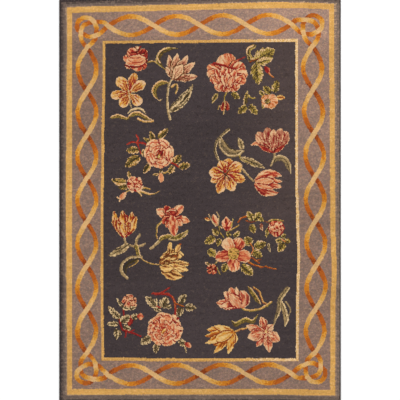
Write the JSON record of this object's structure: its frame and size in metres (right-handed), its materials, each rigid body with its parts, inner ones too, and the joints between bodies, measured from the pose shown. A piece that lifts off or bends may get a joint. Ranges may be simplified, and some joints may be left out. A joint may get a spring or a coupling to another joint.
{
  "type": "hand-knotted rug",
  "caption": "Flat rectangular wool pile rug with a dark floral field, a twisted-ribbon border and an overcast cord along each side.",
  "frame": {"origin": "centre of the underside, on the floor", "axes": "+X across the rug, to the right as it is seen from above; +Y along its length, up in the picture; +Z out of the pile"},
  "size_m": [1.52, 2.1799, 0.01],
  "materials": {
    "wool_pile": "short clipped wool pile, matt, dark charcoal field with dyed flowers and a taupe border",
    "wool_overcast": "dark wool yarn wrapped round a cord, matt"
  },
  "bodies": {
    "root": {"knotted_rug": "wool_pile", "selvedge_left": "wool_overcast", "selvedge_right": "wool_overcast"}
  },
  "joints": []
}
